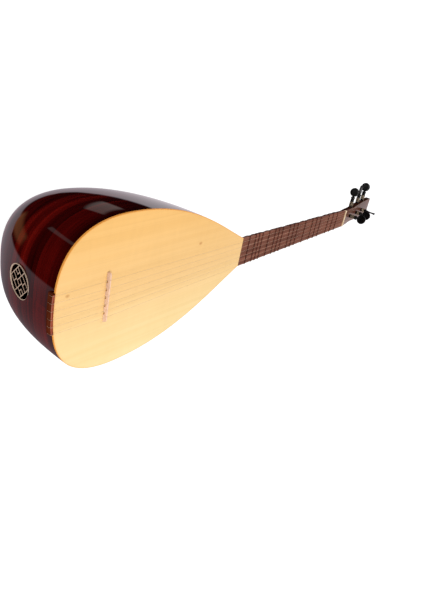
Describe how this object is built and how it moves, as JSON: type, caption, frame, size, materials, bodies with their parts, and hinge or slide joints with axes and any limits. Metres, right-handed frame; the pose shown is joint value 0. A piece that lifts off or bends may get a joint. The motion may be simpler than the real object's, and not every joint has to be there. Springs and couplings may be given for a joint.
{
  "type": "short-neck baglama",
  "caption": "Long lute with a deep ribbed bowl, plain soundboard, soundhole rosette in the tail, tied frets, tilted head and friction pegs.",
  "frame": {"origin": "under the middle of the whole instrument, level with the lowest point of the bowl", "axes": "+X along the neck towards the head, +Z out of the soundboard, +Y to the left seen from the tail with the soundboard up"},
  "size_m": [0.9598, 0.24, 0.2555],
  "materials": {
    "bowl_wood": "high gloss lacquer",
    "spruce": "satin lacquer",
    "neck_wood": "gloss lacquer",
    "fingerboard_wood": "satin, oiled",
    "tailpiece_wood": "gloss lacquer",
    "bridge_wood": "bare, fine sanded",
    "brace_wood": "bare",
    "block_wood": "bare",
    "ebony": "polished",
    "bone": "polished bone",
    "rosette_bone": "satin",
    "fret_cord": "nylon line",
    "string_steel": "drawn wire"
  },
  "bodies": {
    "instrument": {"brace_front": "brace_wood", "brace_rear": "brace_wood", "bridge": "bridge_wood", "fingerboard": "fingerboard_wood", "fret_01": "fret_cord", "fret_02": "fret_cord", "fret_03": "fret_cord", "fret_04": "fret_cord", "fret_05": "fret_cord", "fret_06": "fret_cord", "fret_07": "fret_cord", "fret_08": "fret_cord", "fret_09": "fret_cord", "fret_10": "fret_cord", "fret_11": "fret_cord", "fret_12": "fret_cord", "fret_13": "fret_cord", "fret_14": "fret_cord", "fret_15": "fret_cord", "fret_16": "fret_cord", "fret_17": "fret_cord", "fret_18": "fret_cord", "headstock": "neck_wood", "neck": "neck_wood", "neck_block": "block_wood", "nut": "bone", "rib_keel": "bowl_wood", "rib_left_1": "bowl_wood", "rib_left_2": "bowl_wood", "rib_left_3": "bowl_wood", "rib_left_4": "bowl_wood", "rib_left_5": "bowl_wood", "rib_left_6": "bowl_wood", "rib_left_7": "bowl_wood", "rib_right_1": "bowl_wood", "rib_right_2": "bowl_wood", "rib_right_3": "bowl_wood", "rib_right_4": "bowl_wood", "rib_right_5": "bowl_wood", "rib_right_6": "bowl_wood", "rib_right_7": "bowl_wood", "rosette": "rosette_bone", "soundboard": "spruce", "string_1": "string_steel", "string_2": "string_steel", "string_3": "string_steel", "string_4": "string_steel", "string_5": "string_steel", "string_6": "string_steel", "tail_block": "block_wood", "tailpiece": "tailpiece_wood"},
    "peg_front_1": {"peg_front_1": "ebony"},
    "peg_front_2": {"peg_front_2": "ebony"},
    "peg_front_3": {"peg_front_3": "ebony"},
    "peg_side_1": {"peg_side_1": "ebony"},
    "peg_side_2": {"peg_side_2": "ebony"},
    "peg_side_3": {"peg_side_3": "ebony"}
  },
  "joints": [
    {"name": "peg_side_1_turn", "type": "hinge", "parent": "instrument", "child": "peg_side_1", "pos_m": [0.36382, 0.01636, 0.20725], "axis": [0, 1, 0], "continuous": true},
    {"name": "peg_side_2_turn", "type": "hinge", "parent": "instrument", "child": "peg_side_2", "pos_m": [0.4055, 0.01852, 0.20213], "axis": [0, 1, 0], "continuous": true},
    {"name": "peg_side_3_turn", "type": "hinge", "parent": "instrument", "child": "peg_side_3", "pos_m": [0.43826, 0.01925, 0.19811], "axis": [0, 1, 0], "continuous": true},
    {"name": "peg_front_1_turn", "type": "hinge", "parent": "instrument", "child": "peg_front_1", "pos_m": [0.35184, 0, 0.21638], "axis": [0.1219, 0, 0.9925], "continuous": true},
    {"name": "peg_front_2_turn", "type": "hinge", "parent": "instrument", "child": "peg_front_2", "pos_m": [0.39253, 0, 0.21138], "axis": [0.1219, 0, 0.9925], "continuous": true},
    {"name": "peg_front_3_turn", "type": "hinge", "parent": "instrument", "child": "peg_front_3", "pos_m": [0.42827, 0, 0.20699], "axis": [0.1219, 0, 0.9925], "continuous": true}
  ]
}
